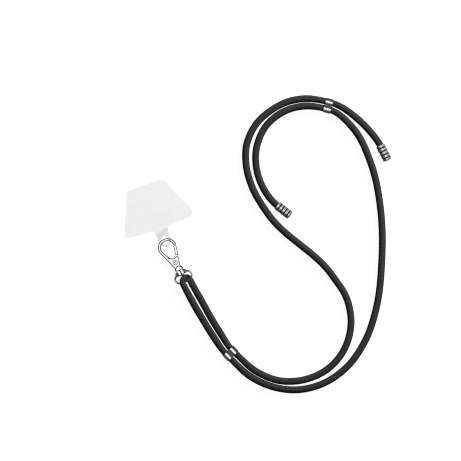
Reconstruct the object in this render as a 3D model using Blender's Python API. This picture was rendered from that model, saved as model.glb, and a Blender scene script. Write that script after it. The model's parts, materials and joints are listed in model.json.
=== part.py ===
"""Phone crossbody strap, laid flat: one round braided cord doubled through the bail of a swivel
trigger hook, two double-barrel cord slides, two turned end caps, and the clear patch that goes
between a phone and its case.

Metres, +Z up. The strap lies on the plane z = 0. The origin is on the flat underside of the
phone patch, near its middle. X runs to the right and Y away from the viewer who looks down.
"""

import math

import bmesh
import bpy
from mathutils import Matrix, Vector

MM = 0.001

# General clearance between pieces that touch or run in each other
GAP = 0.3

# Cord
CORD_RADIUS = 3.4
CORD_SLIDE_RADIUS = 3.1
CORD_BIGHT_RADIUS = 2.4
BIGHT_GAP = 0.35
CORD_STEP = 23.0
CORD_TURN = math.radians(15)
CORD_SIDES_RESOLUTION = 4

# Double-barrel cord slides
SLIDE_WALL = 0.45
SLIDE_LENGTH = 7.8
SLIDE_BORE = CORD_SLIDE_RADIUS + GAP
SLIDE_WEB = 0.4
SLIDE_PITCH = 2 * SLIDE_BORE + SLIDE_WEB
SLIDE_BARREL = SLIDE_BORE + SLIDE_WALL
SLIDE_EDGE = 0.3
SLIDE_LEAD = 1.2

# Turned end caps
CAP_WALL = 0.9
CAP_LENGTH = 17.0
CAP_BORE = CORD_RADIUS + GAP
CAP_RADIUS = CAP_BORE + CAP_WALL
CAP_BORE_DEPTH = 13.5
CAP_COLLAR_LENGTH = 2.3
CAP_GROOVES = 4
CAP_GROOVE_PITCH = 3.6
CAP_GROOVE_WIDTH = 0.9
CAP_GROOVE_SLOPE = 0.2
CAP_GROOVE_DEPTH = 0.5
CAP_DOME = 0.9
CAP_EDGE = 0.3
CAP_CROWN = 0.1
CAP_LEAD = 2.0

# Trigger hook, in its own frame: x along the hook's axis from the centre of its crown towards
# the cord, y across, z up
AXIS_HEIGHT = 4.5
CROWN_RADIUS = 8.0
WIRE_WIDTH = 2.7
CROWN_INNER = CROWN_RADIUS - WIRE_WIDTH / 2
CROWN_OUTER = CROWN_RADIUS + WIRE_WIDTH / 2
WIRE_THICKNESS = 3.0
WIRE_ROUND = 1.0
CHEEK_THICKNESS = 4.8
CHEEK_ROUND = 0.85
SLOT_HALF = 1.15
COLLAR_START = 22.0
COLLAR_END = 25.2
COLLAR_NECK = 3.3
COLLAR_RIM = 4.1
COLLAR_EDGE = 0.2
GATE_THICKNESS = 2.9
GATE_WIDTH = 2.7
GATE_ROUND = 0.7
PIVOT_X = 16.8
RIVET_SHANK = 1.2
RIVET_HEAD = 2.5
RIVET_HEAD_THICKNESS = 0.6
RIVET_EDGE = 0.3
RIVET_DIMPLE = 0.85
RIVET_DIMPLE_DEPTH = 0.4
GATE_EYE = 2.5

# Angles round the crown, in degrees: the slanted nose, then where the back leaves tangentially
NOSE_OUTER_ANGLE = 80.5
NOSE_INNER_ANGLE = 87.0
BACK_OUTER_ANGLE = 286.0
BACK_INNER_ANGLE = 290.0

# Outlines in the hook's plane: x as a share of COLLAR_START, y as a share of CROWN_OUTER
HOOK_THROAT = [(1.000, -0.075), (0.575, -0.075), (0.482, -0.300), (0.414, -0.385)]
CHEEK_OUTLINE = [
    (0.423, -0.722), (1.027, -0.337), (1.027, 0.294), (0.552, 0.592), (0.532, 0.440),
    (0.565, 0.200), (0.564, -0.043), (0.500, -0.275),
]
CHEEK_RAMP = (0.40, 0.60)
GATE_TIP = (0.073, 0.802)
GATE_ROOT = (0.500, 0.508)
SLOT_START = 0.36

# Swivel barrel and oval bail
BARREL_START = COLLAR_END + GAP
BARREL_END = 30.3
BARREL_RADIUS = 3.9
NECK_END = 31.9
NECK_RADIUS = 2.5
EAR_X = 28.7
EAR_RADIUS = 2.1
EAR_REACH = 5.9
EAR_EDGE = 0.3
BARREL_EDGE = 0.3
BARREL_SHOULDER = 0.5
NECK_EDGE = 0.6
STEM_RADIUS = 1.5
STEM_HEAD_RADIUS = 2.2
STEM_HEAD_THICKNESS = 0.9
STEM_HEAD_START = COLLAR_START + 0.9
BAIL_WIRE = 0.95
BAIL_MIDDLE_X = 33.6
BAIL_HALF_LENGTH = 5.0
BAIL_HALF_WIDTH = 9.4
BAIL_ROUNDNESS = 2.4
BAIL_TILT = math.radians(21)

# Clear phone patch, in its own frame: d from its flat middle towards the tab, n across
PATCH_HEADING = math.radians(-69.84)
PATCH_THICKNESS = 0.8
PATCH_LENGTH = 47.0
PATCH_HALF_WIDTH = 35.6
PATCH_FLAT = [
    # d as a share of PATCH_LENGTH, half width as a share of PATCH_HALF_WIDTH
    (-0.570, 0.463),
    (-0.557, 0.522),
    (-0.528, 0.567),
    (-0.468, 0.612),
    (-0.170, 0.756),
    (0.149, 0.938),
    (0.255, 0.994),
    (0.319, 1.000),
    (0.366, 0.949),
    (0.396, 0.831),
    (0.404, 0.702),
    (0.411, 0.337),
    (0.430, 0.236),
]
TAB_START_D = PATCH_FLAT[-1][0] * PATCH_LENGTH
TAB_START_HALF_WIDTH = 6.6
TAB_HALF_WIDTH = 7.3
TAB_HOLE = 4.5
TAB_TWIST = math.radians(30)
TAB_END_REACH = 6.6
TAB_HOLE_SHIFT = 0.4


def row(x, y):
    """A point seen from above, in millimetres of the row's frame."""
    return Vector((x, y, 0.0))


# Where the separate pieces lie, from above
CROWN_CENTRE = row(13.5, -37.6)
HOOK_HEADING = math.radians(-61.6)
UPPER_SLIDE_CENTRE = row(174.0, 104.1)
UPPER_SLIDE_HEADING = math.radians(-15.2)
LOWER_SLIDE_CENTRE = row(76.65, -143.25)
LOWER_SLIDE_HEADING = math.radians(-45.4)
OUTER_CAP_MOUTH = row(225.9, 64.5)
OUTER_CAP_HEADING = math.radians(-62.3)
INNER_CAP_MOUTH = row(123.0, 4.7)
INNER_CAP_HEADING = math.radians(-38.0)

# Where the cord's own route lies between those pieces, from above: right strand, then left
OUTER_LOOP = [(215.3, 79.2), (203.9, 90.6)]
OUTER_RETURN = [
    (151.0, 111.2), (134.6, 108.4), (119.9, 101.4), (101.8, 85.3), (92.4, 64.0), (92.0, 45.8),
    (98.3, 22.5), (113.6, -3.5), (178.0, -65.2), (193.2, -90.0), (196.8, -115.0),
    (188.0, -143.0), (171.3, -160.4), (148.9, -169.8), (124.9, -170.4), (103.0, -161.8),
]
RIGHT_STRAND = [(67.2, -124.3), (58.5, -110.3), (46.5, -88.8)]
LEFT_STRAND = [(37.1, -89.2), (45.1, -103.2), (57.8, -124.0)]

# The fold on the bail, in the hook's frame: the angle round the bar in degrees, and y; then x, y
# and the height of the cord's middle above the floor, just before the fold and just after it
FOLD_TURNS = [(-90, 4.4), (-45, 3.4), (0, 0.9), (45, -2.0), (90, -3.5)]
FOLD_BEFORE = (44.5, 4.4, 3.0)
FOLD_AFTER = (42.0, -3.6, 6.3)
FOLD_LEAD_RADIUS = 3.0
INNER_LOOP = [
    (95.9, -166.0), (118.0, -176.4), (140.2, -179.7), (166.6, -174.3), (193.0, -156.5),
    (211.7, -129.3), (222.0, -98.6), (227.5, -53.0), (226.7, -2.0), (217.2, 45.2),
    (198.7, 82.0),
]
INNER_RETURN = [
    (151.0, 103.8), (131.0, 98.9), (113.4, 85.6), (102.2, 60.2), (103.7, 35.8),
]


def polar(angle):
    """The flat unit vector at an angle from +X."""
    return Vector((math.cos(angle), math.sin(angle), 0.0))


def lifted(point, height):
    """A flat point raised to a height."""
    return Vector((point.x, point.y, height))


def hook_point(x, y, z):
    """A point of the hook's frame in the row's frame, in millimetres."""
    turn = Matrix.Rotation(HOOK_HEADING, 4, "Z")
    return lifted(CROWN_CENTRE, AXIS_HEIGHT) + turn @ Vector((x, y, z))


def slide_passage(centre, heading, side):
    """Two points of the cord on the axis of one barrel of a slide, just outside its ends."""
    along = polar(heading)
    across = polar(heading + math.pi / 2)
    middle = lifted(centre + side * across * SLIDE_PITCH / 2, SLIDE_BARREL)
    reach = SLIDE_LENGTH / 2 + SLIDE_LEAD
    return [middle - along * reach, middle + along * reach]


def bight():
    """The cord's fold round the far bar of the bail: under it on the right, over it on the left."""
    bar_x = BAIL_MIDDLE_X + BAIL_HALF_LENGTH
    reach = BAIL_WIRE + BIGHT_GAP + CORD_BIGHT_RADIUS
    points = []
    for degrees, y in FOLD_TURNS:
        angle = math.radians(degrees)
        height = y * math.tan(BAIL_TILT) + reach * math.sin(angle)
        points.append(hook_point(bar_x - reach * math.cos(angle), y, height))
    return points


def cord_route():
    """The chosen points of the cord from the outer end cap to the inner one, with each one's
    radius, in millimetres."""
    upper = slide_passage(UPPER_SLIDE_CENTRE, UPPER_SLIDE_HEADING, 1)
    under = slide_passage(UPPER_SLIDE_CENTRE, UPPER_SLIDE_HEADING, -1)
    right = slide_passage(LOWER_SLIDE_CENTRE, LOWER_SLIDE_HEADING, 1)
    left = slide_passage(LOWER_SLIDE_CENTRE, LOWER_SLIDE_HEADING, -1)
    outer_out = polar(OUTER_CAP_HEADING)
    inner_out = polar(INNER_CAP_HEADING)
    depth = CAP_BORE_DEPTH - GAP

    def floor(points):
        return [(lifted(row(*point), CORD_RADIUS), CORD_RADIUS) for point in points]

    def sized(points, radius):
        return [(point, radius) for point in points]

    def beside_fold(x, y, height):
        return sized([hook_point(x, y, height - AXIS_HEIGHT)], FOLD_LEAD_RADIUS)

    in_cap = (depth, depth / 2, -CAP_LEAD)
    stations = [
        (lifted(OUTER_CAP_MOUTH + outer_out * reach, CAP_RADIUS), CORD_RADIUS) for reach in in_cap
    ]
    stations += floor(OUTER_LOOP) + sized(reversed(upper), CORD_SLIDE_RADIUS)
    stations += floor(OUTER_RETURN) + sized(reversed(right), CORD_SLIDE_RADIUS)
    stations += floor(RIGHT_STRAND) + beside_fold(*FOLD_BEFORE)
    stations += sized(bight(), CORD_BIGHT_RADIUS) + beside_fold(*FOLD_AFTER)
    stations += floor(LEFT_STRAND) + sized(left, CORD_SLIDE_RADIUS)
    stations += floor(INNER_LOOP) + sized(reversed(under), CORD_SLIDE_RADIUS)
    stations += floor(INNER_RETURN)
    stations += [
        (lifted(INNER_CAP_MOUTH + inner_out * reach, CAP_RADIUS), CORD_RADIUS)
        for reach in reversed(in_cap)
    ]
    return stations


def smooth_curve(stations, step=0.5):
    """Points every half millimetre or so on the smooth curve through the stations, with each
    one's radius, and whether a piece on the cord holds it there."""
    points = [station[0] for station in stations]
    radii = [station[1] for station in stations]
    last = len(points) - 1
    lengths = [(points[i + 1] - points[i]).length for i in range(last)]
    tangents = []
    for i in range(last + 1):
        before = (points[i] - points[i - 1]) / lengths[i - 1] if i > 0 else None
        after = (points[i + 1] - points[i]) / lengths[i] if i < last else None
        if before is None or after is None:
            tangents.append(after or before)
            continue
        tangents.append((before * lengths[i] + after * lengths[i - 1]) / (lengths[i - 1] + lengths[i]))
    dense = []
    for i in range(last):
        count = max(2, round(lengths[i] / step))
        for k in range(count):
            t = k / count
            held = k == 0 and (radii[i] < CORD_RADIUS or points[i].z > CORD_RADIUS)
            dense.append((
                (2 * t**3 - 3 * t**2 + 1) * points[i]
                + (t**3 - 2 * t**2 + t) * lengths[i] * tangents[i]
                + (-2 * t**3 + 3 * t**2) * points[i + 1]
                + (t**3 - t**2) * lengths[i] * tangents[i + 1],
                radii[i] + (radii[i + 1] - radii[i]) * t * t * (3 - 2 * t),
                held,
            ))
    dense.append((points[-1], radii[-1], True))
    return dense


def thinned(dense):
    """The few points that the tube needs: one where the curve has turned or run far enough, or
    where a piece on the cord holds it."""
    kept = [dense[0]]
    heading = (dense[1][0] - dense[0][0]).normalized()
    run = 0.0
    for before, here, after in zip(dense, dense[1:], dense[2:]):
        run += (here[0] - before[0]).length
        now = (after[0] - here[0]).normalized()
        if now.angle(heading) > CORD_TURN or run > CORD_STEP or here[2]:
            kept.append(here)
            heading = now
            run = 0.0
    if (dense[-1][0] - kept[-1][0]).length < CORD_STEP / 4:
        kept.pop()
    kept.append(dense[-1])
    return kept


def finish_material(name, colour, roughness, metallic=0.0, transmission=0.0):
    """A Principled material of one colour."""
    material = bpy.data.materials.new(name)
    material.use_nodes = True
    shader = material.node_tree.nodes["Principled BSDF"]
    shader.inputs["Base Color"].default_value = (*colour, 1.0)
    shader.inputs["Roughness"].default_value = roughness
    shader.inputs["Metallic"].default_value = metallic
    shader.inputs["Transmission Weight"].default_value = transmission
    return material


def add_object(name, data, material=None, parent=None, location=(0, 0, 0), turn=0.0):
    """Link a new object, placed in millimetres under its parent."""
    thing = bpy.data.objects.new(name, data)
    bpy.context.collection.objects.link(thing)
    thing.location = Vector(location) * MM
    thing.rotation_euler = (0.0, 0.0, turn)
    thing.parent = parent
    if material:
        data.materials.append(material)
    return thing


def mesh_of(name, bm):
    """A smooth-shaded mesh in metres from a bmesh in millimetres, with its faces pointing out."""
    bmesh.ops.recalc_face_normals(bm, faces=bm.faces)
    bmesh.ops.scale(bm, vec=(MM, MM, MM), verts=bm.verts)
    mesh = bpy.data.meshes.new(name)
    bm.to_mesh(mesh)
    bm.free()
    mesh.shade_smooth()
    mesh.set_sharp_from_angle(angle=math.radians(35))
    return mesh


def plate(outline, thickness, rounding=0.0, segments=2):
    """A bmesh plate of an (x, y) outline, centred on z = 0, with its rims rounded."""
    bm = bmesh.new()
    face = bm.faces.new([bm.verts.new((x, y, -thickness / 2)) for x, y in outline])
    grown = bmesh.ops.extrude_face_region(bm, geom=[face])
    top = [item for item in grown["geom"] if isinstance(item, bmesh.types.BMVert)]
    bmesh.ops.translate(bm, vec=(0, 0, thickness), verts=top)
    bmesh.ops.recalc_face_normals(bm, faces=bm.faces)
    if rounding:
        rims = [edge for edge in bm.edges if abs(edge.verts[0].co.z - edge.verts[1].co.z) < 1e-6]
        bmesh.ops.bevel(
            bm, geom=rims, offset=rounding, segments=segments, profile=0.5, affect="EDGES",
            clamp_overlap=True,
        )
    return bm


def turned(profile, sides=28):
    """A bmesh turned about the x axis from (x, radius) rows that run from axis to axis."""
    bm = bmesh.new()
    verts = [bm.verts.new((x, radius, 0.0)) for x, radius in profile]
    edges = [bm.edges.new(pair) for pair in zip(verts, verts[1:])]
    bmesh.ops.spin(
        bm, geom=verts + edges, cent=(0, 0, 0), axis=(1, 0, 0), angle=math.tau, steps=sides,
        use_merge=True,
    )
    bmesh.ops.remove_doubles(bm, verts=bm.verts, dist=1e-4)
    return bm


def arc(centre, radius, start, end, count):
    """Points (x, y) of an arc between two angles in degrees."""
    points = []
    for k in range(count + 1):
        angle = math.radians(start + (end - start) * k / count)
        points.append((centre[0] + radius * math.cos(angle), centre[1] + radius * math.sin(angle)))
    return points


def operand(target, bm, operation, location=(0, 0, 0), rotation=(0, 0, 0)):
    """Join a shape to a target, or cut it out, with a Boolean in the target's own frame."""
    name = f"{target.name}_{operation.lower()}_{len(target.modifiers) + 1}"
    tool = add_object(name, mesh_of(name, bm), parent=target, location=location)
    tool.rotation_euler = rotation
    tool.hide_render = True
    tool.display_type = "WIRE"
    boolean = target.modifiers.new(name, "BOOLEAN")
    boolean.operation = operation
    boolean.solver = "EXACT"
    boolean.object = tool
    return tool


def cylinder(radius, length, sides=24):
    """A bmesh cylinder along z, centred."""
    bm = bmesh.new()
    bmesh.ops.create_cone(
        bm, cap_ends=True, segments=sides, radius1=radius, radius2=radius, depth=length
    )
    return bm


def block(low, high):
    """A bmesh box between two corners."""
    bm = bmesh.new()
    bmesh.ops.create_cube(bm, size=1.0)
    size = Vector(high) - Vector(low)
    bmesh.ops.scale(bm, vec=size, verts=bm.verts)
    bmesh.ops.translate(bm, vec=(Vector(high) + Vector(low)) / 2, verts=bm.verts)
    return bm


def build_cord(material):
    """The whole cord as one tube, thinner in the slides and at its fold on the bail."""
    curve = bpy.data.curves.new("cord", "CURVE")
    curve.dimensions = "3D"
    curve.bevel_depth = MM
    curve.bevel_resolution = CORD_SIDES_RESOLUTION
    curve.use_fill_caps = True
    stations = thinned(smooth_curve(cord_route()))
    spline = curve.splines.new("POLY")
    spline.points.add(len(stations) - 1)
    for point, (place, radius, held) in zip(spline.points, stations):
        point.co = (*(place * MM), 1.0)
        point.radius = radius
    return add_object("cord", curve, material)


def build_slide(name, centre, heading, material):
    """A cord slide: two thin barrels side by side in one piece, open at both ends."""
    half_pitch = SLIDE_PITCH / 2
    waist = math.degrees(math.acos(half_pitch / SLIDE_BARREL)) + 6
    outline = arc((half_pitch, 0), SLIDE_BARREL, waist - 180, 180 - waist, 20)
    outline += arc((-half_pitch, 0), SLIDE_BARREL, waist, 360 - waist, 20)
    body = plate(outline, SLIDE_LENGTH, SLIDE_EDGE, 2)
    bmesh.ops.rotate(body, cent=(0, 0, 0), matrix=Matrix.Rotation(math.pi / 2, 3, "X"), verts=body.verts)
    bmesh.ops.rotate(body, cent=(0, 0, 0), matrix=Matrix.Rotation(math.pi / 2, 3, "Z"), verts=body.verts)
    slide = add_object(
        name, mesh_of(name, body), material, None, lifted(centre, SLIDE_BARREL), heading
    )
    for side in (-1, 1):
        bore = cylinder(SLIDE_BORE, SLIDE_LENGTH * 2, 32)
        operand(slide, bore, "DIFFERENCE", (0, side * half_pitch, 0), (0, math.pi / 2, 0))
    return slide


def cap_profile():
    """The (x, radius) rows of an end cap: bore, mouth, grooved barrel and domed end."""
    land = CAP_RADIUS - CAP_CROWN
    floor = CAP_RADIUS - CAP_GROOVE_DEPTH
    rows = [
        (CAP_BORE_DEPTH, 0.0),
        (CAP_BORE_DEPTH, CAP_BORE),
        (CAP_EDGE, CAP_BORE),
        (0.0, CAP_BORE + CAP_EDGE),
        (0.0, land - CAP_EDGE),
        (CAP_EDGE, land),
    ]
    for groove in range(CAP_GROOVES):
        start = CAP_COLLAR_LENGTH + groove * CAP_GROOVE_PITCH
        end = start + CAP_GROOVE_WIDTH
        rows += [
            (start, land),
            (start + CAP_GROOVE_SLOPE, floor),
            (end - CAP_GROOVE_SLOPE, floor),
            (end, land),
        ]
        if groove < CAP_GROOVES - 1:
            rows.append(((end + start + CAP_GROOVE_PITCH) / 2, CAP_RADIUS))
    dome_start = CAP_LENGTH - CAP_DOME
    rows += [
        (dome_start - CAP_EDGE, land),
        (dome_start, land - CAP_EDGE),
        (CAP_LENGTH - 0.3 * CAP_DOME, CAP_RADIUS * 0.6),
        (CAP_LENGTH, 0.0),
    ]
    return rows


def build_cap(name, mouth, heading, material):
    """A turned end cap over one end of the cord."""
    mesh = mesh_of(name, turned(cap_profile()))
    return add_object(name, mesh, material, None, lifted(mouth, CAP_RADIUS), heading)


def in_hook(share):
    """The (x, y) point of the hook's plane at shares of the collar's start and the crown."""
    return share[0] * COLLAR_START, share[1] * CROWN_OUTER


def hook_outline():
    """The (x, y) outline of the hook: crown, straight back and the open throat, as one wire."""
    outline = arc((0, 0), CROWN_OUTER, NOSE_OUTER_ANGLE, BACK_OUTER_ANGLE, 24)
    outline += [(COLLAR_START, -COLLAR_NECK)]
    outline += [in_hook(share) for share in HOOK_THROAT]
    outline += arc((0, 0), CROWN_INNER, BACK_INNER_ANGLE, NOSE_INNER_ANGLE, 22)
    return outline


def cheek_wedge():
    """A bmesh wedge that takes the front of the cheeks down to the wire, above the wire."""
    start, end = (share * COLLAR_START for share in CHEEK_RAMP)
    low = WIRE_THICKNESS / 2
    high = CHEEK_THICKNESS / 2
    profile = [(0.0, low), (start, low), (end, high), (end, 2 * high), (0.0, 2 * high)]
    wedge = plate(profile, 4 * CROWN_RADIUS)
    bmesh.ops.rotate(wedge, cent=(0, 0, 0), matrix=Matrix.Rotation(math.pi / 2, 3, "X"), verts=wedge.verts)
    return wedge


def build_hook_frame(parent, material):
    """The hook's cast frame: crown and back, slotted cheeks, and the collar of the swivel."""
    body = plate(hook_outline(), WIRE_THICKNESS, WIRE_ROUND)
    frame = add_object("hook_frame", mesh_of("hook_frame", body), material, parent)
    cheeks = plate([in_hook(share) for share in CHEEK_OUTLINE], CHEEK_THICKNESS, CHEEK_ROUND)
    operand(frame, cheeks, "UNION")
    operand(frame, cheek_wedge(), "DIFFERENCE")
    operand(frame, cheek_wedge(), "DIFFERENCE", (0, 0, 0), (math.pi, 0, 0))
    length = COLLAR_END - COLLAR_START
    collar = [
        (COLLAR_START - 0.38 * length, 0.0), (COLLAR_START - 0.38 * length, 0.73 * COLLAR_NECK),
        (COLLAR_START, 0.95 * COLLAR_NECK), (COLLAR_START + 0.30 * length, COLLAR_RIM - COLLAR_EDGE),
        (COLLAR_START + 0.36 * length, COLLAR_RIM), (COLLAR_END - COLLAR_EDGE, COLLAR_RIM),
        (COLLAR_END, COLLAR_RIM - COLLAR_EDGE), (COLLAR_END, 0.0),
    ]
    operand(frame, turned(collar), "UNION")
    eye_room = GATE_EYE + GAP
    slot = block(
        (SLOT_START * COLLAR_START, -eye_room, -SLOT_HALF),
        (PIVOT_X + eye_room, CROWN_OUTER, SLOT_HALF),
    )
    operand(frame, slot, "DIFFERENCE")
    rivet_hole = cylinder(RIVET_SHANK + GAP, 2 * CHEEK_THICKNESS)
    operand(frame, rivet_hole, "DIFFERENCE", (PIVOT_X, 0, 0))
    seat_start = STEM_HEAD_START - GAP
    seat_end = STEM_HEAD_START + STEM_HEAD_THICKNESS + GAP
    beyond = COLLAR_END + length
    seat = [
        (seat_start, 0.0), (seat_start, STEM_HEAD_RADIUS + GAP),
        (seat_end, STEM_HEAD_RADIUS + GAP), (seat_end, STEM_RADIUS + GAP),
        (beyond, STEM_RADIUS + GAP), (beyond, 0.0),
    ]
    operand(frame, turned(seat, 20), "DIFFERENCE")
    return frame


def build_hook_gate(parent, material):
    """The sprung gate: a round-edged finger with a thin heel that turns on the rivet."""
    tip = Vector(in_hook(GATE_TIP))
    root = Vector(in_hook(GATE_ROOT))
    along = (root - tip).normalized()
    across = Vector((-along.y, along.x)) * GATE_WIDTH / 2
    pivot = Vector((PIVOT_X, 0.0))
    slant = along * GATE_WIDTH / 6
    finger = [tip + across + slant, tip - across - slant, root - across - 2 * slant, root + across]
    heel_width = across * 0.8
    heel = [root - heel_width - along * GATE_EYE, root + heel_width - along * GATE_EYE]
    heel += [Vector(point) for point in arc(pivot, GATE_EYE, 60, -120, 12)]

    def local(points):
        return [tuple(point - pivot) for point in points]

    body = plate(local(finger), GATE_THICKNESS, GATE_ROUND)
    gate = add_object(
        "hook_gate", mesh_of("hook_gate", body), material, parent, (PIVOT_X, 0, 0)
    )
    operand(gate, plate(local(heel), 2 * (SLOT_HALF - GAP)), "UNION")
    operand(gate, cylinder(RIVET_SHANK + GAP, 2 * GATE_THICKNESS), "DIFFERENCE")
    return gate


def build_gate_rivet(parent, material):
    """The gate's rivet: a shank with a flat, hollow-centred head on each cheek."""
    seat = CHEEK_THICKNESS / 2 + GAP
    top = seat + RIVET_HEAD_THICKNESS
    dimple = top - RIVET_DIMPLE_DEPTH
    upper = [
        (0.0, RIVET_SHANK), (seat, RIVET_SHANK), (seat, RIVET_HEAD),
        (top - RIVET_EDGE, RIVET_HEAD), (top, RIVET_HEAD - RIVET_EDGE),
        (top, RIVET_DIMPLE + RIVET_EDGE / 2), (dimple, RIVET_DIMPLE), (dimple, 0.0),
    ]
    profile = [(-x, radius) for x, radius in reversed(upper)][:-1] + upper
    body = turned(profile, 24)
    bmesh.ops.rotate(body, cent=(0, 0, 0), matrix=Matrix.Rotation(math.pi / 2, 3, "Y"), verts=body.verts)
    return add_object(
        "gate_rivet", mesh_of("gate_rivet", body), material, parent, (PIVOT_X, 0, 0)
    )


def bail_loop():
    """A closed bmesh tube round the bail's oval, in the plane of the hook."""
    curve = bpy.data.curves.new("bail_loop", "CURVE")
    curve.dimensions = "3D"
    curve.bevel_depth = BAIL_WIRE
    curve.bevel_resolution = 3
    spline = curve.splines.new("POLY")
    count = 44
    spline.points.add(count - 1)
    power = 2 / BAIL_ROUNDNESS
    for k, point in enumerate(spline.points):
        angle = math.tau * k / count
        c, s = math.cos(angle), math.sin(angle)
        x = BAIL_MIDDLE_X + BAIL_HALF_LENGTH * math.copysign(abs(c) ** power, c)
        y = BAIL_HALF_WIDTH * math.copysign(abs(s) ** power, s)
        point.co = (x, y, 0.0, 1.0)
    spline.use_cyclic_u = True
    guide = bpy.data.objects.new("bail_loop", curve)
    mesh = bpy.data.meshes.new_from_object(guide)
    bm = bmesh.new()
    bm.from_mesh(mesh)
    bmesh.ops.remove_doubles(bm, verts=bm.verts, dist=1e-4)
    bpy.data.objects.remove(guide)
    return bm


def build_swivel_bail(parent, material):
    """The swivel: a stem held in the hook's collar, a barrel with two ears, and the oval bail."""
    head_end = STEM_HEAD_START + STEM_HEAD_THICKNESS
    barrel = [
        (STEM_HEAD_START, 0.0), (STEM_HEAD_START, STEM_HEAD_RADIUS),
        (head_end, STEM_HEAD_RADIUS), (head_end, STEM_RADIUS),
        (BARREL_START, STEM_RADIUS), (BARREL_START, BARREL_RADIUS - BARREL_EDGE),
        (BARREL_START + BARREL_EDGE, BARREL_RADIUS),
        (BARREL_END - BARREL_SHOULDER, BARREL_RADIUS),
        (BARREL_END, BARREL_RADIUS - BARREL_SHOULDER), (BARREL_END + BARREL_EDGE, NECK_RADIUS),
        (NECK_END - NECK_EDGE, NECK_RADIUS), (NECK_END, NECK_RADIUS - NECK_EDGE), (NECK_END, 0.0),
    ]
    body = add_object("swivel_bail", mesh_of("swivel_bail", turned(barrel)), material, parent)
    tilt = (BAIL_TILT, 0, 0)
    operand(body, bail_loop(), "UNION", (0, 0, 0), tilt)
    ears = cylinder(EAR_RADIUS, 2 * EAR_REACH, 20)
    rims = [edge for edge in ears.edges if len({round(v.co.z, 3) for v in edge.verts}) == 1]
    bmesh.ops.bevel(ears, geom=rims, offset=EAR_EDGE, segments=1, profile=0.5, affect="EDGES")
    bmesh.ops.rotate(ears, cent=(0, 0, 0), matrix=Matrix.Rotation(math.pi / 2, 3, "X"), verts=ears.verts)
    bmesh.ops.translate(ears, vec=(EAR_X, 0, 0), verts=ears.verts)
    operand(body, ears, "UNION", (0, 0, 0), tilt)
    return body


def tab_rows():
    """The (d, n, half width, height, twist) rows of the tab: it rises and twists to the hook's
    crown, and ends round beyond its hole."""
    heading = polar(PATCH_HEADING)
    across = polar(PATCH_HEADING + math.pi / 2)
    reach = CROWN_CENTRE - CROWN_CENTRE.normalized() * CROWN_RADIUS
    hole_d = reach.dot(heading)
    hole_n = reach.dot(across)
    rows = []
    for k in range(1, 7):
        t = k / 6
        ease = t * t * (3 - 2 * t)
        rows.append((
            TAB_START_D + (hole_d - TAB_END_REACH - TAB_START_D) * t,
            hole_n * ease,
            TAB_START_HALF_WIDTH + (TAB_HALF_WIDTH - TAB_START_HALF_WIDTH) * t,
            PATCH_THICKNESS / 2 + (AXIS_HEIGHT - PATCH_THICKNESS / 2) * ease,
            TAB_TWIST * ease,
        ))
    for angle in (0, 15, 30, 45, 60, 72, 82):
        c, s = math.cos(math.radians(angle)), math.sin(math.radians(angle))
        rows.append((
            hole_d + TAB_END_REACH * s, hole_n, TAB_HALF_WIDTH * c, AXIS_HEIGHT, TAB_TWIST,
        ))
    return rows, hole_d, hole_n


def build_phone_patch(parent, material):
    """The clear patch: a flat flared sheet, with a tab that takes the hook through its hole."""
    tab, hole_d, hole_n = tab_rows()
    sections = [
        (along * PATCH_LENGTH, 0.0, wide * PATCH_HALF_WIDTH, PATCH_THICKNESS / 2, 0.0)
        for along, wide in PATCH_FLAT
    ]
    sections += tab
    columns = (-1.0, -0.5, 0.0, 0.5, 1.0)
    bm = bmesh.new()
    rings = []
    for d, n, half, height, twist in sections:
        over = []
        under = []
        for share in columns:
            s = share * half
            foot = Vector((d, n + s * math.cos(twist), height + s * math.sin(twist)))
            up = Vector((0, -math.sin(twist), math.cos(twist))) * PATCH_THICKNESS / 2
            over.append(bm.verts.new(foot + up))
            under.append(bm.verts.new(foot - up))
        rings.append(over + under[::-1])
    for ring in rings:
        for k in range(len(ring)):
            bm.edges.new((ring[k], ring[(k + 1) % len(ring)]))
    for before, after in zip(rings, rings[1:]):
        size = len(before)
        for k in range(size):
            m = (k + 1) % size
            bm.faces.new((before[k], before[m], after[m], after[k]))
    bm.faces.new(rings[0])
    bm.faces.new(rings[-1])
    patch = add_object(
        "phone_patch", mesh_of("phone_patch", bm), material, parent, (0, 0, 0), PATCH_HEADING
    )
    hole = cylinder(TAB_HOLE, 8 * PATCH_THICKNESS, 28)
    place = (hole_d + TAB_HOLE_SHIFT, hole_n, AXIS_HEIGHT)
    operand(patch, hole, "DIFFERENCE", place, (TAB_TWIST, 0, 0))
    return patch


def main():
    """Clear the scene, then build each piece in its place."""
    for thing in list(bpy.data.objects):
        bpy.data.objects.remove(thing)
    cord_cloth = finish_material("cord_charcoal", (0.022, 0.022, 0.025), 0.8)
    nickel = finish_material("bright_nickel", (0.82, 0.82, 0.84), 0.16, 1.0)
    clear = finish_material("clear_soft_plastic", (0.86, 0.87, 0.88), 0.3, 0.0, 0.6)

    build_cord(cord_cloth)
    build_slide("slide_upper", UPPER_SLIDE_CENTRE, UPPER_SLIDE_HEADING, nickel)
    build_slide("slide_lower", LOWER_SLIDE_CENTRE, LOWER_SLIDE_HEADING, nickel)
    build_cap("end_cap_outer", OUTER_CAP_MOUTH, OUTER_CAP_HEADING, nickel)
    build_cap("end_cap_inner", INNER_CAP_MOUTH, INNER_CAP_HEADING, nickel)

    swivel_axis = add_object(
        "swivel_axis", None, None, None, lifted(CROWN_CENTRE, AXIS_HEIGHT), HOOK_HEADING
    )
    build_swivel_bail(swivel_axis, nickel)
    build_hook_frame(swivel_axis, nickel)
    build_hook_gate(swivel_axis, nickel)
    build_gate_rivet(swivel_axis, nickel)
    build_phone_patch(None, clear)


main()
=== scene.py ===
"""Looks of the phone crossbody strap: braided cord, bright nickel fittings and the clear patch.

Every length is in metres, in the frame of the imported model: the strap lies on z = 0, X runs to
the right and Y away from the viewer who looks straight down.
"""

from __future__ import annotations

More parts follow.
